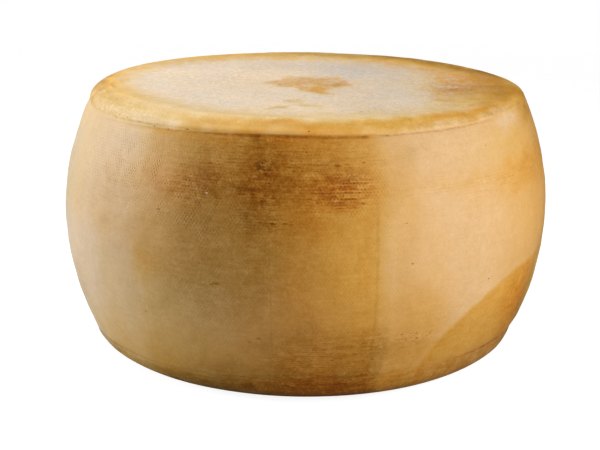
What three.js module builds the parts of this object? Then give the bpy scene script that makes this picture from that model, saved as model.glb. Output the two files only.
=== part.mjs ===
// A whole wheel of hard, long-aged grating cheese: a heavy drum with a barrel-shaped side and a soft
// shoulder round each flat face. Below the upper shoulder and above the lower one runs a shallow seam,
// where the edge of the mould's side band pressed into the young cheese. The wheel is one solid piece.
// Millimetres, +Z up, origin in the middle of the base.
import * as THREE from 'three';
import { mergeVertices } from 'three/addons/utils/BufferGeometryUtils.js';

// Driving dimensions
const wheelHeight = 236;
const widestRadius = 220;
const widestHeight = 126.5;

const topFlatRadius = 176;
const topSeamRadius = 195.3;
const topSeamHeight = 225.3;
const topRoundness = 1.89; // exponent of the shoulder's superellipse, where 2 is a plain quarter ellipse

const baseFlatRadius = 162.5;
const baseSeamRadius = 197.6;
const baseSeamHeight = 20.2;
const baseRoundness = 1.98;

const upperBow = 1.92; // power of the side's curve: higher keeps it upright for longer, then turns it in
const lowerBow = 2.24;

const seamDepth = 1.2;
const seamHalfWidth = 2.2;
const topDish = 1.5; // the middle of the top face lies this far below its edge

// Unevenness of a hand-turned cheese: each wave is [lobes round the wheel, size, degrees to a high spot],
// with the degrees counted from +X towards +Y
const topSeamWaves = [[1, 0.7, -23], [2, 3.4, -40], [3, 2.4, 6]]; // up and down
const baseSeamWaves = [[1, 6.6, -59], [2, 1.4, -48]]; // up and down
const sideWaves = [[2, 0.4, 35], [3, 0.3, 80], [5, 0.2, 12]]; // in and out
const topFaceWaves = [[2, 0.5, 110], [3, 0.3, 20]]; // up and down, near the edge of the top face

// Fineness of the faceted surface
const facetsAround = 96;
const shoulderSteps = 8;
const sideSteps = 11;
const faceRings = [0.35, 0.7]; // shares of the flat's radius
const sameLevel = 1e-3; // heights closer than this are one level

const { lerp, clamp, degToRad } = THREE.MathUtils;

// Evenly spaced numbers from one end to the other, both included
function evenly(from, to, steps) {
  return Array.from({ length: steps + 1 }, (_, i) => lerp(from, to, i / steps));
}

// Sum of cosine waves at an angle round the wheel
function wavesAt(waves, angle) {
  return waves.reduce(
    (sum, [lobes, size, highAt]) => sum + size * Math.cos(lobes * (angle - degToRad(highAt))),
    0,
  );
}

// Profile of a shoulder, from the edge of a flat face out to its seam: a quarter superellipse
function shoulder(flatRadius, flatHeight, seamRadius, seamHeight, roundness) {
  return evenly(0, Math.PI / 2, shoulderSteps).map((turn) => {
    const out = Math.sin(turn) ** (2 / roundness);
    const away = 1 - Math.cos(turn) ** (2 / roundness);
    return new THREE.Vector2(lerp(flatRadius, seamRadius, out), lerp(flatHeight, seamHeight, away));
  });
}

// Profile of the side, from a seam to the widest line, with closer steps in the seam's own groove
function side(seamRadius, seamHeight, bow) {
  const grooveShare = (2 * seamHalfWidth) / Math.abs(widestHeight - seamHeight);
  const shares = [0, grooveShare / 2, ...evenly(grooveShare, 1, sideSteps)];
  return shares.map((share) => new THREE.Vector2(
    widestRadius - (widestRadius - seamRadius) * (1 - share) ** bow,
    lerp(seamHeight, widestHeight, share),
  ));
}

// Profile of a flat face, from the axis to its edge, without the edge itself
function face(flatRadius, height) {
  return [0, ...faceRings].map((share) => new THREE.Vector2(share * flatRadius, height));
}

// The wheel's whole profile, from the axis at the base round to the axis at the top
function wheelProfile() {
  return [
    ...face(baseFlatRadius, 0),
    ...shoulder(baseFlatRadius, 0, baseSeamRadius, baseSeamHeight, baseRoundness),
    ...side(baseSeamRadius, baseSeamHeight, lowerBow).slice(1),
    ...side(topSeamRadius, topSeamHeight, upperBow).reverse().slice(1),
    ...shoulder(topFlatRadius, wheelHeight, topSeamRadius, topSeamHeight, topRoundness).reverse().slice(1),
    ...face(topFlatRadius, wheelHeight).reverse(),
  ];
}

// How far a point of the even wheel is lifted: the seams wander up and down, what lies between them
// follows in proportion, and the base, the widest line and the top stay where they are
function liftAt(height, angle) {
  const anchors = [
    [0, 0],
    [baseSeamHeight, wavesAt(baseSeamWaves, angle)],
    [widestHeight, 0],
    [topSeamHeight, wavesAt(topSeamWaves, angle)],
    [wheelHeight, 0],
  ];
  const above = clamp(anchors.findIndex(([level]) => level >= height), 1, anchors.length - 1);
  const [lowLevel, lowLift] = anchors[above - 1];
  const [highLevel, highLift] = anchors[above];
  return lerp(lowLift, highLift, clamp((height - lowLevel) / (highLevel - lowLevel), 0, 1));
}

// How far the seams are pressed in at a height of the even wheel
function grooveAt(height) {
  return [baseSeamHeight, topSeamHeight]
    .map((level) => seamDepth * Math.exp(-(((height - level) / seamHalfWidth) ** 2)))
    .reduce((sum, depth) => sum + depth, 0);
}

// The top face's own form: dished towards its middle and slightly wavy towards its edge
function topFaceRise(radius, angle) {
  const share = clamp(radius / topFlatRadius, 0, 1);
  const waveFade = share ** 2 * (1 - share ** 6);
  return -topDish * (1 - share ** 2) + waveFade * wavesAt(topFaceWaves, angle);
}

// Turn the profile about the axis, then make the even drum as uneven as a real one
function wheelGeometry() {
  const even = new THREE.LatheGeometry(wheelProfile(), facetsAround).rotateX(Math.PI / 2);
  even.deleteAttribute('normal');
  even.deleteAttribute('uv');
  const geometry = mergeVertices(even);
  const position = geometry.getAttribute('position');
  const point = new THREE.Vector3();
  for (let i = 0; i < position.count; i += 1) {
    point.fromBufferAttribute(position, i);
    const angle = Math.atan2(point.y, point.x);
    const radius = Math.hypot(point.x, point.y);
    const level = point.z;
    const bulge = Math.sin((Math.PI * level) / wheelHeight) * wavesAt(sideWaves, angle);
    const unevenRadius = radius + bulge - grooveAt(level);
    const onTopFace = level > wheelHeight - sameLevel;
    const height = level + liftAt(level, angle) + (onTopFace ? topFaceRise(radius, angle) : 0);
    position.setXYZ(i, unevenRadius * Math.cos(angle), unevenRadius * Math.sin(angle), height);
  }
  geometry.computeVertexNormals();
  return geometry;
}

const rind = new THREE.MeshStandardMaterial({ color: 0xd8ad6c, roughness: 0.55, metalness: 0 });

const wheel = new THREE.Mesh(wheelGeometry(), rind);
wheel.name = 'cheese_wheel';

const part = new THREE.Group();
part.add(wheel);

export default part;
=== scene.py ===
import math

import bpy
import numpy as np
from mathutils import Matrix, Vector


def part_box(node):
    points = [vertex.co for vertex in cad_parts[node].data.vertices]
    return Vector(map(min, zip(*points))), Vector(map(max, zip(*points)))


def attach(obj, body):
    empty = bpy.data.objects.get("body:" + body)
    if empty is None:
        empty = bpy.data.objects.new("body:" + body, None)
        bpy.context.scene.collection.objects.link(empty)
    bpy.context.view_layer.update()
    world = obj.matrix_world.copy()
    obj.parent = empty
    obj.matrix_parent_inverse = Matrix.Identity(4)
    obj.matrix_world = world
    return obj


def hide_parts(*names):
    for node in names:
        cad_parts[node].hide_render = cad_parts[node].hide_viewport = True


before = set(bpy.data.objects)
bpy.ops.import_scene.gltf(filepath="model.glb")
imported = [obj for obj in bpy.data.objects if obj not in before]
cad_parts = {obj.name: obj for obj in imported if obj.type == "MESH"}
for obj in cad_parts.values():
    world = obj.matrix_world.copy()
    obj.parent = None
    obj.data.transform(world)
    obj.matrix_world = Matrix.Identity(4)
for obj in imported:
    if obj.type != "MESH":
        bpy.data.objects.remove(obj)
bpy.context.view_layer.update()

# The camera stands in front of the wheel and a little above it, at arm's length, and looks down on it.
# Its lens is a short telephoto one, so that the wheel fills the frame without swelling.
camera_distance = 1.0814
camera_height = 0.4111
camera_aside = -0.0054
looks_down = math.radians(16.14)
rolled = math.radians(0.59)

camera = bpy.data.objects.new("camera", bpy.data.cameras.new("camera"))
camera.data.sensor_width = 36.0
camera.data.lens = 71.62
camera.matrix_world = (
    Matrix.Translation((camera_aside, -camera_distance, camera_height))
    @ Matrix.Rotation(math.pi / 2 - looks_down, 4, "X")
    @ Matrix.Rotation(rolled, 4, "Z")
)
bpy.context.collection.objects.link(camera)
bpy.context.scene.camera = camera

# The wheel's form: one uncut drum of hard cheese, pressed in a mould and turned by hand for years.
# Its profile runs from the middle of the base, round the lower shoulder, up the barrel-shaped side and
# over the upper shoulder to the middle of the top. Each row of that profile is carried round the axis.
wheel_low, wheel_high = (np.array(corner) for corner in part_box("cheese_wheel"))
wheel_height = wheel_high[2] - wheel_low[2]
widest_radius = (wheel_high - wheel_low)[:2].mean() / 2
widest_height = 0.1265
top_flat_radius = 0.176
top_seam_radius = 0.1953
top_seam_height = 0.2253
top_roundness = 1.89
base_flat_radius = 0.1625
base_seam_radius = 0.1976
base_seam_height = 0.0202
base_roundness = 1.98
upper_bow = 1.92
lower_bow = 2.24
top_dish = 0.0015
seam_depth = 0.0009
seam_half_width = 0.0015
crease_height = 0.2238
lip_height = 0.2275
lip_half_width = 0.0022
lip_rise = 0.0006
worn_height = 0.0155
worn_half_width = 0.004

# Fineness of the mesh: columns round the wheel, and rows up its profile, close together at the seams
columns = 500
base_rings = 6
base_shoulder_rows = 17
side_rows = 43
groove_rows = 11
groove_reach = 0.006
top_shoulder_rows = 25
top_rings = 44
same_level = 1e-6


def shoulder(flat_radius, flat_height, seam_radius, seam_height, roundness, rows):
    """Quarter superellipse from a face's edge to its seam, as radii and heights: the radius grows with
    the sine of the turn, and the height with one minus its cosine, each to the power 2 / roundness."""
    turn = np.linspace(0, np.pi / 2, rows)
    out = np.sin(turn) ** (2 / roundness)
    away = 1 - np.cos(turn) ** (2 / roundness)
    return np.array([flat_radius + (seam_radius - flat_radius) * out,
                     flat_height + (seam_height - flat_height) * away])


def side(seam_radius, seam_height, bow):
    """Side from a seam to the widest line, as radii and heights: the radius falls short of the widest
    by the share of the way that is left, to the power bow. The first rows lie close, for the groove."""
    close = groove_reach / abs(widest_height - seam_height)
    share = np.concatenate([np.linspace(0, close, groove_rows)[:-1], np.linspace(close, 1, side_rows)])
    return np.array([widest_radius - (widest_radius - seam_radius) * (1 - share) ** bow,
                     seam_height + (widest_height - seam_height) * share])


def face(flat_radius, height, rings):
    """A flat face from its middle to its edge, as radii and heights, without the middle and the edge."""
    radius = np.linspace(0, flat_radius, rings + 2)[1:-1]
    return np.array([radius, np.full_like(radius, height)])


base_shoulder = shoulder(
    base_flat_radius, 0.0, base_seam_radius, base_seam_height, base_roundness, base_shoulder_rows,
)
top_shoulder = shoulder(
    top_flat_radius, wheel_height, top_seam_radius, top_seam_height, top_roundness, top_shoulder_rows,
)
profile = np.concatenate([
    face(base_flat_radius, 0.0, base_rings),
    base_shoulder,
    side(base_seam_radius, base_seam_height, lower_bow)[:, 1:],
    side(top_seam_radius, top_seam_height, upper_bow)[:, -2::-1],
    top_shoulder[:, -2::-1],
    face(top_flat_radius, wheel_height, top_rings)[:, ::-1],
], axis=1)
even_radius, level = (row[:, None] for row in profile)
angle = np.linspace(-np.pi, np.pi, columns, endpoint=False)[None, :]
level = level + 0 * angle
even_radius = even_radius + 0 * angle
even_points = np.stack([even_radius * np.cos(angle), even_radius * np.sin(angle), level], axis=2)


def waves(angle, *lobes):
    """Sum of cosine waves round the wheel, each given as (lobes, size, degrees to a high spot)."""
    return sum(size * np.cos(count * (angle - math.radians(high_at))) for count, size, high_at in lobes)


def roughness_of(points, shortest, longest, seed):
    """Random unevenness of unit size: forty cosine waves through space, in random directions, with
    lengths spread evenly by ratio between the shortest and the longest."""
    count = 40
    draw = np.random.default_rng(seed)
    heading = draw.normal(size=(count, 3))
    heading /= np.linalg.norm(heading, axis=1, keepdims=True)
    length = shortest * (longest / shortest) ** draw.random(count)
    phase = draw.uniform(0, 2 * np.pi, count)
    along = points.reshape(-1, 3) @ (2 * np.pi * heading / length[:, None]).T
    return np.cos(along + phase).sum(axis=1).reshape(points.shape[:-1]) / math.sqrt(count / 2)


# The seams wander up and down, and what lies between them follows in proportion
seam_lift_top = waves(angle, (1, 0.0007, -23), (2, 0.0034, -40), (3, 0.0024, 6))
seam_lift_base = waves(angle, (1, 0.0066, -59), (2, 0.0014, -48))
lift = np.where(
    level > widest_height,
    seam_lift_top * np.minimum((level - widest_height) / (top_seam_height - widest_height),
                               (wheel_height - level) / (wheel_height - top_seam_height)),
    seam_lift_base * np.minimum((widest_height - level) / (widest_height - base_seam_height),
                                level / base_seam_height),
)

# The side bulges in and out a little, most of all half way up
side_waves = waves(angle, (2, 0.0004, 35), (3, 0.0003, 80), (5, 0.0002, 12))
bulge = np.sin(np.pi * level / wheel_height) * side_waves


def ridge(at, half_width):
    """Soft ridge of unit height round the wheel, at a level of the even wheel."""
    return np.exp(-((level - at) / half_width) ** 2)


def sector(at, half_width, sharpness=1.0):
    """One at some degrees round the wheel, falling off softly to both sides."""
    aside = (np.degrees(angle) - at + 180) % 360 - 180
    return np.exp(-((aside / half_width) ** 2) ** sharpness)


# Each seam is a crease that comes and goes round the wheel. A low lip stands above the upper one, and
# below the lower one the shoulder is slightly worn away, more in some places than in others.
top_crease = 0.30 + 0.45 * sector(-105, 34, 1.5)
base_crease = 0.15 + 0.75 * sector(-145, 14) + 0.60 * sector(-36, 12)
worn_depth = 0.0010 - 0.0006 * sector(-3, 13) + 0.0004 * sector(-24, 14) - 0.0008 * sector(-178, 18)
groove = (
    top_crease * seam_depth * ridge(crease_height, seam_half_width)
    - top_crease * lip_rise * ridge(lip_height, lip_half_width)
    + base_crease * seam_depth * ridge(base_seam_height, seam_half_width)
    + worn_depth * ridge(worn_height, worn_half_width)
)

# The foot stands a little fuller on the right and on the left, and so do the middle and the upper part of
# the side on the left. On the right, the lip and a broad place below the middle are a little flatter.
fuller = (
    sector(-4, 24) * (
        0.0018 * ridge(0.006, 0.004) + 0.0006 * ridge(0.0208, 0.0035) + 0.0011 * ridge(0.029, 0.007)
    )
    + sector(-178, 20) * (0.0009 * ridge(0.0150, 0.0045) + 0.0009 * ridge(0.214, 0.012))
    + 0.0014 * sector(-175, 22) * ridge(0.118, 0.034)
)
flatter = 0.0012 * sector(-3, 16) * ridge(0.2280, 0.0025) + 0.0009 * sector(-8, 16) * ridge(0.075, 0.022)

# The top sinks a little towards its middle, and rolls slightly towards its edge
share = np.clip(even_radius / top_flat_radius, 0, 1)
on_top_face = level > wheel_height - same_level
top_rise = on_top_face * (
    -top_dish * (1 - share ** 2)
    + share ** 2 * (1 - share ** 6) * waves(angle, (2, 0.0005, 110), (3, 0.0003, 20))
)

# Handling and shelf marks: broad soft hollows, a finer unevenness, and a skin that is never quite smooth.
# They fade out at the foot, because the wheel stands flat.
flat_foot = 0.015
skin = np.clip(level / flat_foot, 0, 1) * (
    0.00042 * roughness_of(even_points, 0.06, 0.14, 1)
    + 0.00014 * roughness_of(even_points, 0.02, 0.05, 2)
    + 0.00005 * roughness_of(even_points, 0.009, 0.018, 3)
)
radius = even_radius + bulge - groove + fuller - flatter + np.where(on_top_face, 0, skin)
height = level + lift + top_rise + np.where(on_top_face, skin, 0)
wheel_points = np.stack([radius * np.cos(angle), radius * np.sin(angle), height], axis=2)


def turned_mesh(name, points, base_middle, top_middle):
    """Closed mesh of rows of points round an axis: quads between neighbouring rows, and a fan of
    triangles from each end row to its middle point. Faces point outwards."""
    rows, around = points.shape[:2]
    index = np.arange(rows * around).reshape(rows, around)
    onward = np.roll(index, -1, axis=1)
    quads = np.stack([index[:-1], onward[:-1], onward[1:], index[1:]], axis=2).reshape(-1, 4)
    base_at, top_at = rows * around, rows * around + 1
    base_fan = np.stack([onward[0], index[0], np.full(around, base_at)], axis=1)
    top_fan = np.stack([index[-1], onward[-1], np.full(around, top_at)], axis=1)
    mesh = bpy.data.meshes.new(name)
    vertices = np.concatenate([points.reshape(-1, 3), [base_middle, top_middle]])
    mesh.from_pydata(vertices.tolist(), [], quads.tolist() + base_fan.tolist() + top_fan.tolist())
    mesh.polygons.foreach_set("use_smooth", np.ones(len(mesh.polygons), bool))
    mesh.update()
    return mesh


# Where the rind's colours lie: degrees round the wheel and millimetres up it on the side, and millimetres
# from the axis on the top. All are nudged by a soft unevenness, so that no stain has a ruled edge.
nudge_across = roughness_of(even_points, 0.012, 0.06, 4)
nudge_up = roughness_of(even_points, 0.012, 0.06, 5)
degrees_round = np.degrees(angle) + 0 * level
across = degrees_round + 0.5 * nudge_across
level_mm = 1000 * level
up = level_mm + 1.8 * nudge_up
top_x = 1000 * even_points[..., 0] + 3.0 * nudge_across
top_y = 1000 * even_points[..., 1] + 3.0 * nudge_up
top_radius = np.hypot(top_x, top_y)


def patch(at, up_at, half_width, half_height, sharpness=1.0):
    """Soft oval on the side, in degrees and millimetres: e to the power of minus the squared distance
    in half sizes, itself to the power of sharpness. One in the middle, nothing far away."""
    aside = (across - at + 180) % 360 - 180
    return np.exp(-((aside / half_width) ** 2 + ((up - up_at) / half_height) ** 2) ** sharpness)


def top_patch(x, y, half_width, half_height, turned=0.0, sharpness=1.0):
    """The same soft oval on the top face, in millimetres, turned by some degrees."""
    turn = math.radians(turned)
    along = (top_x - x) * math.cos(turn) + (top_y - y) * math.sin(turn)
    off = (top_y - y) * math.cos(turn) - (top_x - x) * math.sin(turn)
    return np.exp(-((along / half_width) ** 2 + (off / half_height) ** 2) ** sharpness)


def step(value, low, high):
    """Smooth step: nothing below low, one above high, with a cubic between. High may be the lower one."""
    share = np.clip((value - low) / (high - low), 0, 1)
    return share * share * (3 - 2 * share)


def band(value, low, low_soft, high, high_soft):
    """One between two limits, with an edge of its own softness at each."""
    rise = step(value, low - low_soft / 2, low + low_soft / 2)
    return rise * (1 - step(value, high - high_soft / 2, high + high_soft / 2))


# The rind's own colours, under its stains, and a cool grey that is a painted reflection
cream = np.array([0.653, 0.490, 0.320])
honey = np.array([0.765, 0.475, 0.220])
painted_reflection_grey = np.array([0.557, 0.475, 0.372])
top_cream = np.array([0.970, 0.740, 0.460])
lip_gold_with_painted_highlight = np.array([0.980, 0.570, 0.210])
brightest = 0.98

ground = np.empty(level.shape + (3,))
ground[:] = cream


def lay(colour, amount):
    """Lays a colour over the others, from nothing to all of it."""
    ground[:] += np.clip(amount, 0, 1)[..., None] * (colour - ground)


def redden(amount):
    """Takes a share of the ground's green away, so that it turns redder, or greener below nothing."""
    ground[..., 1] *= 1 - amount


behind = step(np.abs(across - 90), 106, 84)
lay(honey, step(across, -128, -78))
# The cool grey low on the left edge is a painted reflection of the light at that grazing edge
lay(painted_reflection_grey, 0.8 * (1 - step(across, -168, -152)) * (1 - step(up, 195, 215)))
lay(cream, behind * step(roughness_of(even_points, 0.10, 0.30, 6), -0.6, 1.0))
redden(
    0.050 * patch(-125, 165, 26, 52, 2) - 0.060 * patch(-80, 150, 8, 90, 2)
    + 0.045 * patch(-98, 72, 16, 50, 2) - 0.040 * patch(-35, 205, 14, 18)
)

# Above the upper seam the rind is paler. Its lip in front is gold, with a painted highlight where the
# raised lip catches the light
seam_at = 225.2 - 1.5 * sector(-127, 20, 1.5)
seam_blur = 2.0 - 1.4 * sector(-96, 26, 1.5)
above_seam = step(level_mm, seam_at - seam_blur, seam_at + seam_blur)
lip = ridge(0.2277, 0.0021) * above_seam
on_shoulder = above_seam * step(even_radius, 0.174, 0.184)
lay(top_cream, above_seam)
lay(lip_gold_with_painted_highlight, lip * sector(-92, 24, 1.5))
redden(on_shoulder * (0.05 * sector(180, 26) + 0.07 * sector(-44, 20, 2)))

# Amber on the side: oil drawn out by the years. It fills the strip where the ends of the mould's band
# overlapped, the upper front, and a puddle mark low on the right, which has a smooth round edge. Near the
# foot in front it is partly painted shade.
front = band(degrees_round + 0.5 * nudge_across, -130, 11, -74.2, 6)
strip = band(degrees_round + 0.15 * nudge_across, -96, 5, -75.5, 5)
near_foot = 1 - step(up, 12, 82)
puddle = np.hypot((degrees_round + 27) / 36.8, level_mm / 102) + 0.004 * nudge_up
in_puddle = (1 - step(puddle, 0.950, 1.020)) * (1 - behind)
redden(in_puddle * (0.03 * (1 - step(level_mm, 18, 22)) - 0.055 * step(level_mm, 18, 34)))
amber_front = (
    front * (0.64 + 0.28 * step(up, 90, 130) + 0.12 * step(up, 135, 175))
    + strip * (0.44 - 0.14 * step(up, 105, 130))
    + 0.16 * band(across, -111, 8, -84, 6) * step(up, 130, 160)
    + 0.21 * band(across, -182, 16, -132, 6) * step(up, 120, 150)
    + 0.26 * patch(-137, 80, 6, 66, 1.5)
    + 0.30 * patch(-136, 165, 8, 36, 1.5)
    + 0.25 * patch(-126, 120, 4, 14)
    + 0.20 * patch(-101, 88, 5, 38, 1.5)
)
amber_round_knots = (
    0.48 * patch(-110, 186, 20, 15, 1.3)
    + 0.46 * patch(-98, 212, 23, 30, 1.5)
    + 0.55 * patch(-99.5, 190, 5, 40, 1.3)
    + 0.76 * patch(-84.5, 184, 7, 12, 1.5)
    + 0.22 * patch(-119, 184, 7, 6)
    + 0.22 * patch(-117, 184, 7, 12)
    - 0.26 * patch(-105.5, 208, 3, 10)
    + 0.25 * patch(-101, 195, 3, 10)
    + 0.40 * patch(-96, 225.5, 4, 3.5)
    - 0.28 * patch(-95.5, 172, 2.5, 5)
    + 0.35 * patch(-90, 164, 5, 16, 1.3)
    + 0.35 * patch(-90, 195, 2.2, 4)
    - 0.24 * patch(-88, 216, 10, 6)
    + 0.32 * patch(-82.5, 187, 4, 7)
    - 0.32 * patch(-82, 170, 3.5, 5)
    + 0.30 * patch(-81, 192, 3.5, 10)
    - 0.38 * patch(-78, 212, 4, 16)
)
amber_beside_strip = (
    0.30 * patch(-73, 183, 4, 14)
    + 0.30 * patch(-70.5, 170, 4.5, 56, 2)
    + 0.66 * patch(-67, 70, 9.5, 42, 1.6)
    + 0.14 * patch(-66, 150, 6, 60, 1.5)
    + 0.25 * patch(-60, 40, 3, 10)
    + 0.20 * patch(-55, 184, 10, 8)
)
# Amber towards the foot in front: partly stain, and partly painted shade where the lower front gets little
# light
amber_low_with_painted_shade = (
    0.66 * near_foot * band(across, -151, 16, -61, 6)
    + 0.68 * (1 - step(up, 14, 28)) * band(across, -107, 8, -64, 10)
    - 0.18 * patch(-78, 38, 5, 14, 1.5)
)
amber_right = (
    in_puddle * (1.02 + 0.82 * patch(-32, 66, 8, 42, 1.5) - 0.20 * step(across, -26, -20))
    + (1 - in_puddle) * step(across, -50, -26) * 0.56 * (1 - behind)
    - 0.40 * (1 - step(level_mm, 18, 21)) * band(across, -46, 10, 20, 20)
    + 0.26 * patch(-31, 62, 5, 26, 1.5)
    + 0.35 * patch(-30, 64, 3.5, 8)
    - 0.40 * patch(-21, 50, 4, 12)
    + 0.15 * patch(-44, 171, 10, 7)
    + 0.18 * patch(-42, 184, 20, 5)
    + 0.12 * patch(-40, 203, 14, 3)
    - 0.60 * patch(-33, 221, 7, 8, 1.5)
    + 0.52 * patch(-27, 180, 16, 14, 1.3)
    + 0.38 * patch(-18.5, 219, 5, 8)
)
amber_behind = behind * (
    0.45 * patch(72, 186, 24, 26) + 0.6 * patch(140, 30, 26, 30, 1.5)
    + 0.30 * step(roughness_of(even_points, 0.05, 0.20, 7), 0.2, 1.6)
)
amber = amber_front + amber_round_knots + amber_beside_strip + amber_low_with_painted_shade + amber_right + amber_behind

# Brown on the side: old dirt and handling, and painted shade. It dulls the front left, is darkest in the
# two knots high on the front, and gathers at the foot, with an edge of its own. Painted shade darkens the
# lower left edge, the right edge, the lower front, and the worn lower shoulder and the bottom edge, which
# turn under.
foot_edge = 31 + waves(angle, (2, 5, -130), (5, 2, -112))
leaning = 0.03 * (up - 120)
# Below the middle the left edge is darker with painted shade; the patches nearer the front are stains
brown_left_with_painted_shade = (
    0.20 * band(across, -200, 30, -163, 8) * (1 - step(up, 120, 150))
    + 0.24 * band(across, -200, 30, -151, 8) * (1 - step(up, 70, 100))
    - 0.18 * band(across, -175, 20, -124, 8) * step(up, 165, 195)
    + 0.30 * patch(-136, 166, 12, 20, 1.4)
    + 0.10 * patch(-136, 196, 22, 28, 1.4)
)
brown_front = (
    0.72 * band(across - leaning, -120, 11, -95, 8) * step(up, 64, 112) * (1 - 0.60 * step(up, 196, 222))
    + 0.12 * patch(-110, 130, 9, 50, 2)
    + 0.18 * patch(-101, 135, 4.5, 50, 2)
    + 0.20 * patch(-92, 130, 4.5, 60, 2)
    - 0.20 * patch(-78, 140, 8, 44, 2)
)
brown_knots = (
    0.46 * patch(-100, 194, 5.5, 40, 1.6)
    + 0.44 * patch(-89.5, 192, 8.5, 19, 1.6)
    + 0.20 * patch(-121, 186, 4, 10)
    - 0.30 * patch(-120, 190, 3, 12)
    - 0.15 * patch(-116.5, 178, 4, 10)
    - 0.30 * patch(-115, 187, 2.5, 5)
    + 0.28 * patch(-111, 212, 3, 5)
    + 0.40 * patch(-110.5, 184, 6, 14, 1.6)
    + 0.35 * patch(-110, 157, 2.5, 6)
    + 0.50 * patch(-105, 188, 2.5, 6)
    + 0.50 * patch(-102, 163, 4, 9)
    + 0.50 * patch(-100.5, 219, 2.2, 6)
    - 0.35 * patch(-100.5, 168, 2, 6)
    + 0.55 * patch(-98.6, 201.5, 2.6, 4)
    - 0.30 * patch(-95.5, 172, 2.5, 6)
    - 0.25 * patch(-95, 198, 2.2, 6)
    + 0.35 * patch(-90.5, 211, 2.5, 4)
    + 0.45 * patch(-86.5, 204, 3, 5)
    - 0.30 * patch(-85.5, 191, 2.2, 5)
    + 0.30 * patch(-82, 188, 5.5, 10, 2)
    + 0.65 * patch(-80.5, 195.5, 2.2, 4)
)
brown_under_lip = (
    0.30 * patch(-66, 210, 3, 5)
    + 0.30 * patch(-50, 226, 5, 2.5)
    - 0.40 * patch(-102, 224.2, 12, 1.8)
    - 0.35 * patch(-128, 222, 14, 3)
)
# Brown low on the front: stains, and painted shade that darkens it towards the foot
brown_low_with_painted_shade = (
    0.52 * band(degrees_round, -99, 7, -72.3, 2) * (1 - step(up, 54, 82))
    + 0.30 * (1 - step(up, foot_edge - 8, foot_edge + 2)) * band(across, -116, 8, -72.6, 2.5)
    + 0.12 * (1 - step(up, 20, 46)) * band(across, -124, 16, -66, 10)
    + 0.32 * patch(-144, 21, 8, 5)
    + 0.55 * patch(-121, 12, 7, 4)
    - 0.10 * patch(-118, 46, 18, 20, 1.5)
    + 0.18 * patch(-112, 76, 9, 12)
    + 0.90 * patch(-101, 12, 5, 4)
    + 0.40 * patch(-100, 55, 2.5, 6)
    + 0.42 * patch(-89, 75, 3, 7)
    + 0.10 * patch(-86, 45, 9, 36, 1.5)
    + 0.50 * patch(-80, 20, 3, 9)
    + 0.40 * patch(-80, 25, 5, 6)
    + 0.32 * patch(-75.5, 46, 4.2, 18, 1.8)
    + 0.28 * patch(-69, 50, 3.5, 8)
    + 0.34 * patch(-68, 44, 6, 15, 1.3)
)
# Painted shade: the lower shoulder below the seam, darker where it turns under away from the light, and a
# painted contact shadow along the bottom edge in front
painted_shade_at_foot = (
    (1 - step(level_mm, 17.5, 21.5)) * (1.00 - 0.45 * band(across, -103, 8, -68, 6))
    + 0.35 * (1 - step(up, 11, 17)) * band(across, -132, 8, -100, 8)
    + (1 - step(level_mm, 3, 9)) * (1.10 - 0.50 * sector(-84, 14, 2)) * band(across, -155, 14, -66, 20)
)
# The right edge and the low right are darker with painted shade, among real stains and smudges
brown_right_with_painted_shade = (
    0.10 * band(across, -60, 10, -36, 10)
    + 0.30 * step(across, -22, -12) * (1 - behind)
    + 0.25 * band(across, -52, 20, 10, 30) * (1 - step(up, 14, 34))
    - 0.22 * patch(-43, 76, 7, 14)
    - 0.14 * patch(-34, 190, 14, 34)
    + 0.21 * patch(-33, 46, 8, 30)
    - 0.16 * patch(-33, 72, 6, 20)
    + 0.15 * patch(-31, 217, 8, 5)
    + 0.35 * patch(-30, 30, 4, 8)
    + 0.40 * patch(-24.5, 46, 5, 10)
    + 0.80 * patch(-24, 52, 5, 40, 1.5)
    + 1.10 * patch(-20, 27, 5, 9)
    + 0.40 * patch(-19, 95, 5, 50, 1.5)
    + 0.50 * patch(-18.5, 219, 5, 8)
)
brown_behind = behind * (0.45 * patch(70, 184, 11, 14) + 0.3 * patch(120, 120, 14, 40, 1.5))
brown = (
    brown_left_with_painted_shade + brown_front + brown_knots + brown_under_lip + brown_low_with_painted_shade + painted_shade_at_foot + brown_right_with_painted_shade
    + brown_behind
)

# The upper shoulder and the edge of the top: a dark amber ring on the shoulder, a lighter gold one inside
# it, a pale lip along the seam in front that is partly a painted highlight, dull brown on the left, and
# dark ochre on the right and behind.
ring_at = 1000 * even_radius + 1.2 * nudge_up


def ring(at, half_width):
    """Soft ring round the axis, at a radius in millimetres."""
    return np.exp(-((ring_at - at) / half_width) ** 2)


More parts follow.
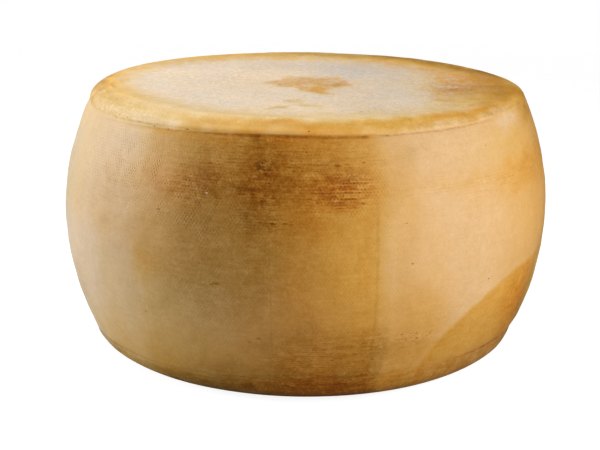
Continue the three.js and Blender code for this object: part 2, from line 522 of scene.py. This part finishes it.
outside = step(ring_at, 100, 135)
gold_place = ring(172, 13)
dark_ring = ring(190.5, 5.5) * (
    1.20 - 1.05 * sector(-157, 34, 2) + 0.55 * sector(-94, 9) + 0.30 * sector(-36, 30, 2)
    - 0.30 * sector(-125, 8) - 0.25 * sector(40, 40, 2)
)
right_edge = 1.85 * sector(-6, 34, 2) * (1 - 0.45 * step(ring_at, 176, 183) * step(across, -16, 0))
pale_lip_with_painted_highlight = lip * (0.30 - 0.24 * sector(-10, 22, 2) + 0.25 * sector(-48, 16, 2))
gold_ring = gold_place * (
    0.95 * sector(-178, 24) + 0.30 * sector(-148, 14) - 0.06 * sector(-82, 20) + 0.15 * sector(-100, 12)
)
top_amber = (
    0.16
    + outside * np.maximum(dark_ring, right_edge) * (1 - pale_lip_with_painted_highlight)
    + gold_ring
    + outside * sector(45, 22, 2) * (1 - step(ring_at, 176, 184))
    + outside * (0.55 * sector(95, 42, 2) + 0.25 * sector(110, 14) + 0.35 * sector(145, 24))
    - 0.30 * sector(-32, 10) * (1 - step(ring_at, 168, 180)) * outside
    + 0.30 * sector(-28, 22, 2) * band(top_radius, 98, 24, 150, 20)
    - 0.28 * sector(-130, 34, 2) * ridge(0.2302, 0.0028)
    - 0.30 * sector(-56, 14, 2) * ridge(0.2305, 0.0030)
    - 0.72 * sector(-28, 11, 2) * ridge(0.2292, 0.0062)
    + 0.30 * sector(-170, 12) * ring(181, 5)
)
top_brown = (
    0.16
    + step(ring_at, 177, 187) * (1.25 * sector(180, 36) + 0.16 * sector(-137, 16))
    - 0.50 * gold_place * sector(-175, 26, 1.5)
    # Less brown on the lip in front: part of its painted highlight
    - 0.50 * lip * sector(-98, 22, 1.4)
    + 0.55 * lip * sector(-42, 24, 2)
    - 0.40 * sector(-22, 10, 2) * ridge(0.2300, 0.0045)
    + outside * (0.20 * sector(-50, 30, 2) + 0.60 * sector(-12, 12) + 0.25 * sector(-26, 16))
    + 1.45 * sector(38, 30, 1.5) * step(ring_at, 150, 170) * (1 - 0.55 * step(ring_at, 180, 186))
    + 0.95 * sector(80, 24) * step(ring_at, 140, 165)
    + 1.00 * sector(18, 14) * ring(177, 4)
)

# Bloom: the whitish dry mould-dust on the top, thick left of the middle and bluish right of it. It thins
# out to nothing towards the edge, over a wider stretch on the right.
bloom_white = np.array([0.885, 0.715, 0.525])
grey_dims = np.array([0.18, 0.190, 0.18])
blue_dims = np.array([0.17, 0.05, -0.12])
right_reach = sector(38, 78, 3)
worn_right = sector(-8, 30, 1.5)
bloom_reach = (
    1000 * even_radius + 3.0 * nudge_up + 20 * right_reach + 9 * sector(-12, 26, 1.5)
    - 5 * sector(172, 40, 2) - 3 * sector(-80, 30)
)
full_up_to = 134 - 14 * right_reach - 56 * worn_right
gone_from = 178 + 6 * right_reach + 34 * worn_right
thinner_in_front = 1 - 0.30 * top_patch(5, -122, 44, 18)
bloom = (level > widest_height) * (1 - step(bloom_reach, full_up_to, gone_from)) * thinner_in_front
greyness = (
    0.30 * step(top_radius, 140, 70) + 0.65 * step(top_x, -20, 60) + 0.55 * step(top_y, 30, 110)
    + 0.50 * top_patch(104, 5, 22, 45)
)
blueness = (
    0.60 * top_patch(42, 48, 34, 40) + 0.30 * top_patch(10, 95, 34, 24) + 0.30 * top_patch(72, -14, 22, 40)
)
bloom_colour = bloom_white * np.exp(-greyness[..., None] * grey_dims - blueness[..., None] * blue_dims)

# Hands have rubbed the bloom off in a heart-shaped patch near the middle, with a tail and a wing, and in
# a small forked streak in front of it. There the rind is oily and darker. The heart's two edges are
# given in millimetres, from its tip in front to its top.
heart_rows = (-68, -59, -41, -21, -5, 10, 21)
heart_left = np.interp(top_y, heart_rows, (9, -2, -15, -27, -38, -32, -26))
heart_right = np.interp(top_y, heart_rows, (14, 17, 21, 27, 31, 34, 37))
heart = (
    step(top_x, heart_left - 9, heart_left + 9) * (1 - step(top_x, heart_right - 9, heart_right + 5))
    * step(top_y, -82, -54) * (1 - step(top_y, 8, 40))
)
halo = top_patch(-2, -8, 62, 36, 0, 1.3)
tail = top_patch(12, -47, 27, 12, 97, 2)
wing = top_patch(27, -15, 25, 9, 64.6, 1.6)
rubbed = np.maximum.reduce([0.70 * heart, 0.34 * halo, 0.90 * wing, 0.94 * tail])
forked = np.maximum.reduce([
    0.80 * top_patch(-11, -102, 6, 11, 0, 1.5),
    0.66 * top_patch(-23, -132, 17, 5, 35, 1.5),
    0.60 * top_patch(0, -122, 16, 4, -34, 1.5),
])
bloom = bloom * (1 - rubbed) * (1 - forked)
top_amber += 1.25 * rubbed + 0.15 * np.maximum(tail, wing) + 0.7 * forked
top_brown += 0.54 * rubbed - 0.44 * tail + 0.6 * forked
redden(0.11 * rubbed * (1 - 0.8 * tail) * above_seam)

# The rind's colour: its ground under amber and brown, which hold stains and painted shade, each of which
# dims blue more than red
amber += above_seam * (top_amber - amber)
amber += 0.32 * patch(-116, 223.5, 22, 4, 1.5)
brown += above_seam * (top_brown - brown)
amber_dims = np.array([0.12, 0.37, 1.26])
brown_dims = np.array([0.34, 0.38, 0.60])
dimmed = np.exp(-amber[..., None] * amber_dims - brown[..., None] * brown_dims)
rind_colour = np.minimum(ground * dimmed, brightest)

# Where the rind is uneven close up: its mottle, the dirt that streaks it, and the print of the band
mottle = 0.055 + 0.15 * np.clip(brown, 0, 1.6) + 0.02 * np.clip(amber, 0, 2)
amber_mottle = 0.024 * (1 - above_seam) * np.clip(amber, 0, 2.6) ** 3
soil = np.maximum.reduce([
    1.00 * patch(-98.8, 201, 3.2, 5),
    0.85 * patch(-98, 190, 2.5, 24, 1.5),
    0.80 * patch(-101.5, 184, 5, 4, 1.3),
    1.00 * patch(-81.5, 188, 5.0, 11, 2),
    0.70 * patch(-86.5, 180, 4, 8),
    0.60 * patch(-113, 185, 8, 12, 1.3),
    0.70 * patch(-101, 164, 3.5, 7),
    0.70 * patch(-96, 162, 3, 6),
    0.40 * patch(-98, 200, 20, 26, 1.5),
    0.45 * patch(-66, 57, 6, 5),
    0.40 * patch(-76, 56, 4, 10),
    0.35 * patch(-88, 45, 9, 20, 1.5),
    0.35 * patch(-92, 20, 24, 8),
    0.15 * patch(-42, 179, 12, 9),
    0.13 * patch(-25, 185, 9, 10),
    0.14 * patch(-62, 180, 6, 8),
    behind * 0.8 * patch(70, 184, 9, 11),
]) * (level < top_seam_height)
print_depth = 0.12 + np.maximum.reduce([
    0.80 * patch(-138, 195, 18, 28, 1.5),
    0.50 * patch(-112, 166, 13, 34, 1.5),
    0.45 * patch(-82, 186, 8, 16, 1.5),
    0.22 * patch(-108, 110, 10, 50, 1.5),
    behind * 0.6 * patch(60, 170, 40, 40, 1.5),
])
# Seam lines: dirt in the creases, and painted shadow under the upper lip in front and in the lower crease
# at either side
seam_dirt_and_shadow = np.maximum.reduce([
    0.50 * band(across, -114, 8, -76.6, 1.6) * (up > 120),
    0.34 * patch(-124, 225, 9, 60),
    0.26 * band(across, -74, 3, -42, 8) * (up > 120),
    0.75 * patch(-156, 20, 14, 60, 2),
    0.65 * patch(-32, 20, 16, 60, 2),
    0.03 + 0 * level,
])

wheel_mesh = turned_mesh("wheel_with_rind", wheel_points, (0, 0, 0), (0, 0, wheel_height - top_dish))


def store(name, values, middles):
    """Puts a value or a colour for each point of the wheel into the mesh, and one for each of its two
    middle points: the base's, then the top's."""
    flat = np.concatenate([values.reshape(level.size, -1), middles]).astype(np.float32)
    if flat.shape[1] == 3:
        flat = np.concatenate([flat, np.ones((len(flat), 1), np.float32)], axis=1)
        wheel_mesh.attributes.new(name, "FLOAT_COLOR", "POINT").data.foreach_set("color", flat.ravel())
    else:
        wheel_mesh.attributes.new(name, "FLOAT", "POINT").data.foreach_set("value", flat.ravel())


store("rind_colour", rind_colour, [rind_colour[0, 0], rind_colour[-1, 0]])
store("bloom", bloom, [[0.0], bloom[-1, :1]])
store("bloom_colour", bloom_colour, [bloom_colour[0, 0], bloom_colour[-1, 0]])
store("mottle", mottle, [[0.1], mottle[-1, :1]])
store("amber_mottle", amber_mottle, [[0.0], [0.0]])
store("soil", soil, [[0.1], [0.0]])
store("print_depth", print_depth, [[0.3], [0.0]])
store("seam_dirt_and_shadow", seam_dirt_and_shadow, [[0.0], [0.0]])
store("level", level, [[0.0], [wheel_height]])

wheel = bpy.data.objects.new("wheel_with_rind", wheel_mesh)
bpy.context.collection.objects.link(wheel)
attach(wheel, "root")
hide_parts("cheese_wheel")

# The rind's finish: a dry, faintly waxy skin, printed all over with the fine staggered pattern of the
# mould's band, stained by age and handling, and dusted with bloom on top. Its colour also holds painted
# shade, painted shadow in the seams, a painted reflection and a painted highlight.
rind = bpy.data.materials.new("rind")
rind.use_nodes = True
tree = rind.node_tree


def put(kind, inputs, **settings):
    """Adds a node to the tree at hand. Each input is a value to set or a socket to link."""
    made = tree.nodes.new("ShaderNode" + kind)
    for name, value in settings.items():
        setattr(made, name, value)
    for name, value in inputs.items():
        if isinstance(value, bpy.types.NodeSocket):
            tree.links.new(value, made.inputs[name])
        else:
            made.inputs[name].default_value = value
    return made


def maths(operation, *values):
    """One sum, product, power or the like of two or three values."""
    return put("Math", dict(enumerate(values)), operation=operation).outputs[0]


def product(*values):
    """All the values multiplied together."""
    result = values[0]
    for value in values[1:]:
        result = maths("MULTIPLY", result, value)
    return result


def total(*values):
    """All the values added up."""
    result = values[0]
    for value in values[1:]:
        result = maths("ADD", result, value)
    return result


def ramp(value, low, high, to_low=0.0, to_high=1.0):
    """Smooth step of a value from low to high, then spread from to_low to to_high."""
    limits = {"From Min": low, "From Max": high, "To Min": to_low, "To Max": to_high}
    return put("MapRange", {"Value": value, **limits}, interpolation_type="SMOOTHSTEP").outputs["Result"]


def blend(amount, below, above):
    """The colour below, covered by the one above by some amount."""
    return put("Mix", {0: amount, 6: below, 7: above}, data_type="RGBA").outputs[2]


def attribute(name, output="Fac"):
    """What the mesh holds at each point under a name."""
    return put("Attribute", {}, attribute_name=name).outputs[output]


def noise(place, scale, detail, roughness=0.5):
    """Soft noise between nothing and one, with so many waves to the metre as the scale says."""
    settings = {"Scale": scale, "Detail": detail, "Roughness": roughness}
    return put("TexNoise", {"Vector": place, **settings}).outputs[0]


def uneven(place, scale, detail, roughness=0.5):
    """Noise with a mean of nothing and a spread of about one."""
    return maths("MULTIPLY_ADD", noise(place, scale, detail, roughness), 8.0, -4.0)


def stretched(place, sideways, upwards):
    """Places scaled sideways and upwards, so that noise read there is drawn out."""
    return put("Mapping", {"Vector": place, "Scale": (sideways, sideways, upwards)}).outputs["Vector"]


def stained(colour, thickness, tint):
    """Colour under a stain: each channel times the tint's, to the power of the stain's thickness."""
    powers = [maths("POWER", channel, thickness) for channel in tint]
    factor = put("CombineColor", {"Red": powers[0], "Green": powers[1], "Blue": powers[2]}).outputs["Color"]
    return put("Mix", {0: 1.0, 6: colour, 7: factor}, data_type="RGBA", blend_type="MULTIPLY").outputs[2]


place = put("TexCoord", {}).outputs["Object"]
at_x, at_y, at_z = put("SeparateXYZ", {"Vector": place}).outputs
turn = maths("ARCTAN2", at_y, at_x)
from_axis = maths("SQRT", total(product(at_x, at_x), product(at_y, at_y)))
level_here = attribute("level")
bloom_here = attribute("bloom")
on_side = ramp(level_here, 0.2252, 0.2240)

# The band's print: staggered pits in rows that waver a little, deeper in some places than in others
pits_per_turn = 470
row_gap = 0.00227
row_waver = 0.00016
pit_waver = 0.0009
row_level = total(level_here, product(uneven(place, 40, 2), row_waver))
row_turn = total(turn, product(uneven(place, 45, 2), pit_waver))
pits_round = maths("COSINE", product(row_turn, pits_per_turn))
pits_up = maths("COSINE", product(row_level, math.pi / row_gap))
rows_up = maths("COSINE", product(row_level, 2 * math.pi / row_gap))
patchy = ramp(noise(place, 110, 4, 0.65), 0.40, 0.62, 0.1, 2.0)
pits_and_rows = total(product(pits_round, pits_up), product(rows_up, 0.30))
print_shape = product(pits_and_rows, on_side, patchy, attribute("print_depth"))

# Mottle: grain, flecks and clouds, and streaks that run round the wheel
grain = uneven(place, 620, 2, 0.6)
flecks = uneven(place, 230, 3, 0.6)
clouds = uneven(place, 70, 4, 0.55)
streaks = uneven(stretched(place, 1, 7), 60, 4, 0.6)
dashes = uneven(stretched(place, 1, 3.5), 260, 3, 0.6)
mottled = total(grain, product(flecks, 0.75), product(clouds, 0.75), product(streaks, 0.6))
mottle_stain = total(product(mottled, attribute("mottle")), product(print_shape, 0.34))

# Soil: streaks that follow the rows of the print, darkest in its pits
row_gate = ramp(rows_up, -0.5, 0.8, 0.15, 1.0)
dash_gate = ramp(dashes, 0.0, 1.2)
streak_gate = ramp(streaks, -0.4, 1.4)
pit_gate = ramp(product(pits_round, pits_up), 0.0, 0.7, 0.3, 1.0)
soil_stain = product(attribute("soil"), total(
    product(row_gate, dash_gate, 2.4),
    streak_gate,
    product(pit_gate, row_gate, ramp(flecks, -0.6, 0.8), 0.9),
    -0.80,
))

fine_tint = (0.74, 0.647, 0.383)
dark_tint = (0.725, 0.615, 0.25)
amber_tint = (0.89, 0.69, 0.28)
colour = attribute("rind_colour", "Color")
colour = stained(colour, mottle_stain, fine_tint)
colour = stained(colour, soil_stain, dark_tint)
colour = stained(colour, product(mottled, attribute("amber_mottle")), amber_tint)

# The seams: mottled brown lines that wander a little, swell and fade, partly dirt and partly painted shadow
# in their creases
seam_tint = (0.68, 0.54, 0.38)
seam_shadow_and_dirt_here = attribute("seam_dirt_and_shadow")
seam_wander = product(uneven(stretched(place, 1, 0.1), 60, 3, 0.6), 0.0002)
seam_gate = ramp(uneven(stretched(place, 1, 0.3), 200, 3, 0.7), -1.2, 1.2, 0.35, 1.25)


def seam_line(at, narrow, wide):
    """One on a line round the wheel at a level, to nothing at a half width grown by dirt and painted
    shadow.
    """
    off = maths("ABSOLUTE", maths("SUBTRACT", maths("SUBTRACT", level_here, at), seam_wander))
    half_width = maths("MULTIPLY_ADD", seam_shadow_and_dirt_here, wide - narrow, narrow)
    return ramp(maths("DIVIDE", off, half_width), 1.0, 0.3)


upper_line = seam_line(0.2234, narrow=0.0006, wide=0.0018)
lower_line = seam_line(base_seam_height, narrow=0.0007, wide=0.0014)
seam_shadow_and_dirt_stain = product(maths("MAXIMUM", upper_line, lower_line), seam_shadow_and_dirt_here, seam_gate, 1.5)
colour = stained(colour, seam_shadow_and_dirt_stain, seam_tint)

# The top has faint streaks that run round with its edge: noise read where the way round hardly counts
round_share = 0.05
out_x = product(maths("DIVIDE", at_x, from_axis), round_share)
out_y = product(maths("DIVIDE", at_y, from_axis), round_share)
ring_place = put("CombineXYZ", {"X": out_x, "Y": out_y, "Z": from_axis}).outputs["Vector"]
ring_streaks = uneven(ring_place, 160, 4, 0.6)
colour = stained(colour, product(ring_streaks, maths("SUBTRACT", 1.0, on_side), 0.10), fine_tint)

# Bloom: it thins out towards its edge, in soft clouds, streaks and fine grains, and its own colour drifts
# between warm and cool
cool_tint = (0.90, 0.95, 1.04)
fine_cool_tint = (0.93, 0.96, 1.03)
dust_tint = (0.76, 0.70, 0.56)
bloom_clouds = uneven(place, 55, 5, 0.6)
bloom_grain = uneven(place, 360, 4, 0.65)
drawn_out = put("Mapping", {"Vector": place, "Scale": (1, 0.3, 1)}).outputs["Vector"]
bloom_streaks = uneven(drawn_out, 150, 4, 0.6)
bloom_edge = product(bloom_here, maths("SUBTRACT", 1.0, bloom_here), 4.0)
bloom_breaks = total(product(bloom_clouds, 0.16), product(bloom_grain, 0.22), product(bloom_streaks, 0.14))
bloom_cover = put("Clamp", {"Value": total(
    bloom_here,
    product(bloom_breaks, bloom_edge),
    product(ramp(bloom_grain, -0.3, -2.0), -0.35),
)}).outputs[0]
bloom_specks = total(grain, product(flecks, 0.8), product(bloom_grain, 0.5))
bloom_shade = attribute("bloom_colour", "Color")
bloom_shade = stained(bloom_shade, product(uneven(place, 32, 4, 0.6), 0.30), cool_tint)
bloom_shade = stained(bloom_shade, product(uneven(place, 210, 4, 0.7), 0.40), fine_cool_tint)
bloom_shade = stained(bloom_shade, product(bloom_specks, 0.22), dust_tint)
colour = blend(bloom_cover, colour, bloom_shade)


# Single marks: specks and smudges on the side, given as (degrees round, millimetres up, half width in
# millimetres, strength), nicks at the edge of the top, and three upright lines beside the strip
def on_side_at(degrees, up_at):
    """Point of the side at degrees round the wheel and millimetres up the even wheel."""
    column = round((degrees + 180) / 360 * columns) % columns
    out = np.interp(up_at / 1000, level[:, column], radius[:, column])
    high = np.interp(up_at / 1000, level[:, column], height[:, column])
    return out * math.cos(math.radians(degrees)), out * math.sin(math.radians(degrees)), high


def on_top_at(x, y):
    """Point of the top at millimetres from the axis."""
    return x / 1000, y / 1000, wheel_height


flattened = 2.3
marked_place = stretched(place, 1, flattened)


def mark(point, half_width):
    """One in a flattened spot round a point, falling to nothing at its half width, in millimetres."""
    x, y, z = point
    middle = (x, y, z * flattened)
    far = put("VectorMath", {0: marked_place, 1: middle}, operation="DISTANCE").outputs["Value"]
    return ramp(far, half_width / 1000, half_width / 4000)


specks = [
    (-122.3, 163.3, 2.6, 0.8), (-111, 202.5, 2.2, 0.8), (-108.5, 110, 4.2, 0.9), (-109.6, 109, 2.2, 0.7),
    (-68.2, 127, 1.7, 1.3), (-47, 98.5, 2.0, 1.2), (-75, 39, 2.0, 1.0), (-79, 46, 2.6, 0.7),
    (-100, 63, 3.0, 0.7), (-102, 59, 2.2, 0.5), (-127, 73, 2.0, 0.5), (-83.7, 203.5, 3.4, 1.1),
    (-78, 205.5, 2.2, 0.9), (-78.6, 176, 2.8, 1.1), (-96.8, 160.5, 2.6, 0.9), (-94.5, 161, 2.2, 0.7),
    (-97, 179.5, 2.6, 0.8), (-91.5, 188.5, 2.0, 0.8), (-90.3, 213, 1.8, 0.8), (-110, 161.5, 1.8, 0.6),
    (-100.2, 201.5, 5.0, 1.3), (-97.9, 200.2, 4.0, 1.0), (-118.6, 225, 1.5, 2.0), (-128.5, 224.3, 1.4, 1.6),
    (-89.8, 228, 1.3, 1.7), (-77.2, 223, 4.2, 0.6), (-19.2, 222, 3.4, 0.9), (-69.5, 159, 1.6, 0.7),
    (-145.8, 227, 1.2, 1.6), (-142, 227.7, 1.2, 1.4), (-138.5, 227.2, 1.3, 1.8), (-65, 55.5, 1.8, 0.9),
    (-69, 61.5, 1.8, 0.8), (-62, 58, 1.7, 0.7), (-65.5, 61, 2.2, 0.7), (-72, 223.5, 2.2, 0.5),
    (-98.8, 197, 3.0, 0.9), (-101.5, 184.5, 4.5, 0.8), (-104, 181.5, 4.0, 0.8), (-99, 177, 3.6, 0.8),
    (-102.6, 165, 3.4, 0.6), (-98, 158.5, 2.8, 0.8), (-133.5, 226, 1.1, 1.5), (-124, 223.6, 1.1, 1.4),
]
speck_stain = total(*(
    product(mark(on_side_at(at, up_at), size), strength) for at, up_at, size, strength in specks
))

# Nicks, given as (x, y, half width, strength) in millimetres from the axis
nicks = [
    (-22, -164, 2.4, 1.6), (-18, -161, 1.8, 1.4), (-26, -166, 1.8, 1.0), (-41, -170, 2.0, 0.9),
    (-17, -152, 1.8, 1.2), (-10, -150, 1.6, 1.0), (42, -152, 2.2, 1.0), (48, -151, 1.8, 0.8),
    (4, -150, 1.6, 0.7),
]
nick_stain = total(*(product(mark(on_top_at(x, y), size), strength) for x, y, size, strength in nicks))


def upright_line(degrees, low, high, half_width):
    """One on an upright line between two heights, fading at its ends, all in millimetres."""
    fade = 0.015
    off = product(maths("ABSOLUTE", maths("SUBTRACT", turn, math.radians(degrees))), 1000 * widest_radius)
    ends = product(ramp(at_z, low / 1000, low / 1000 + fade), ramp(at_z, high / 1000, high / 1000 - fade))
    return product(ramp(off, half_width, half_width / 4), ends)


line_gate = ramp(uneven(stretched(place, 0.2, 1), 90, 3, 0.6), -1.0, 1.0, 0.3, 1.0)
line_stain = product(line_gate, total(
    product(upright_line(-97.2, 45, 128, 0.9), 0.30),
    product(upright_line(-75.6, 8, 186, 2.2), 0.20),
    product(upright_line(-72.6, 5, 66, 1.4), 0.10),
))
colour = stained(colour, product(total(speck_stain, nick_stain, line_stain), 1.5), dark_tint)

# A pale crumb that sticks to the front, and gold chips at the front edge of the top, given as (x, y, half
# width) in millimetres from the axis
crumb_cream = (0.85, 0.74, 0.52, 1)
crumb = mark(on_side_at(-111.2, 180.5), 1.5)
colour = blend(crumb, colour, crumb_cream)
chip_gold = (0.97, 0.76, 0.42, 1)
chips = [(-26, -180, 4.0), (-31, -178, 3.0), (-21, -181, 2.6)]
chipped = total(*(product(mark(on_top_at(x, y), size), 0.8) for x, y, size in chips))
colour = blend(chipped, colour, chip_gold)

# Sparse pores, each in the middle of a cell of its own, and one cell in eight has one
pore_tint = (0.62, 0.48, 0.36)
cells = put("TexVoronoi", {"Vector": place, "Scale": 70})
chosen = ramp(put("SeparateColor", {"Color": cells.outputs["Color"]}).outputs["Red"], 0.86, 0.88)
pore = product(ramp(cells.outputs["Distance"], 0.085, 0.03), chosen)
colour = stained(colour, product(pore, 0.8), pore_tint)

# Low relief: the print, the grain and the clouds, with pores, specks and nicks sunk in
relief = total(
    product(print_shape, -0.16),
    product(grain, 0.012),
    product(flecks, 0.03),
    product(clouds, 0.05),
    product(pore, -0.3),
    product(total(speck_stain, nick_stain), -0.15),
    product(bloom_cover, bloom_grain, 0.03),
)
bump = put("Bump", {"Strength": 0.6, "Distance": 0.001, "Height": relief})

# Bare rind has a dull shine, and bloom has hardly any
bare_roughness = 0.52
bloom_roughness = 0.78
finish = tree.nodes["Principled BSDF"]
finish.inputs["Specular IOR Level"].default_value = 0.22
tree.links.new(colour, finish.inputs["Base Color"])
tree.links.new(ramp(bloom_cover, 0, 1, bare_roughness, bloom_roughness), finish.inputs["Roughness"])
tree.links.new(bump.outputs["Normal"], finish.inputs["Normal"])
wheel.data.materials.append(rind)

# The floor: a plain pale table top. It glows to the camera alone, and fades out into the white room
# round it some way from the wheel.
floor_half_size = 4.0
floor_grey = (0.36, 0.36, 0.36, 1)
floor_glow = 0.88
floor_fades_from = 0.6
floor_ends_at = 2.4
corners = [(-1, -1), (1, -1), (1, 1), (-1, 1)]
floor = bpy.data.objects.new("floor", bpy.data.meshes.new("floor"))
floor.data.from_pydata(
    [(floor_half_size * x, floor_half_size * y, 0) for x, y in corners], [], [(0, 1, 2, 3)],
)
bpy.context.collection.objects.link(floor)
pale = bpy.data.materials.new("pale_floor")
pale.use_nodes = True
tree = pale.node_tree
sheet = tree.nodes["Principled BSDF"]
sheet.inputs["Base Color"].default_value = floor_grey
sheet.inputs["Roughness"].default_value = 0.9
sheet.inputs["Emission Color"].default_value = (1, 1, 1, 1)
seen = put("LightPath", {}).outputs["Is Camera Ray"]
tree.links.new(maths("MULTIPLY", seen, floor_glow), sheet.inputs["Emission Strength"])
floor_place = put("TexCoord", {}).outputs["Object"]
from_wheel = put("VectorMath", {0: floor_place}, operation="LENGTH").outputs["Value"]
tree.links.new(ramp(from_wheel, floor_ends_at, floor_fades_from), sheet.inputs["Alpha"])
floor.data.materials.append(pale)


# Soft studio light: a large softbox far to the left, a smaller one close in front on the right, and one
# overhead. The room round them is dim, and white to look at.
def softbox(name, azimuth, elevation, distance, size, power):
    """A square soft light that faces the middle of the wheel from a bearing, a height and a distance."""
    azimuth, elevation = math.radians(azimuth), math.radians(elevation)
    away = Vector((math.cos(elevation) * math.cos(azimuth), math.cos(elevation) * math.sin(azimuth),
                   math.sin(elevation)))
    lamp = bpy.data.lights.new(name, "AREA")
    lamp.size = size
    lamp.energy = power
    box = bpy.data.objects.new(name, lamp)
    box.location = Vector((0, 0, 0.12)) + distance * away
    box.rotation_euler = away.to_track_quat("Z", "Y").to_euler()
    box.visible_camera = False
    bpy.context.collection.objects.link(box)


softbox("left_softbox", azimuth=-180, elevation=10, distance=2.4, size=0.9, power=51)
softbox("right_softbox", azimuth=-43, elevation=16, distance=1.0, size=0.7, power=7.3)
softbox("top_softbox", azimuth=141, elevation=67, distance=1.1, size=0.9, power=8.2)

room_light = 0.1
room_seen = 1.0
world = bpy.data.worlds.new("studio")
world.use_nodes = True
tree = world.node_tree
seen = put("LightPath", {}).outputs["Is Camera Ray"]
tree.links.new(ramp(seen, 0, 1, room_light, room_seen), tree.nodes["Background"].inputs["Strength"])
tree.nodes["Background"].inputs["Color"].default_value = (1, 1, 1, 1)
bpy.context.scene.world = world
bpy.context.scene.view_settings.view_transform = "Standard"
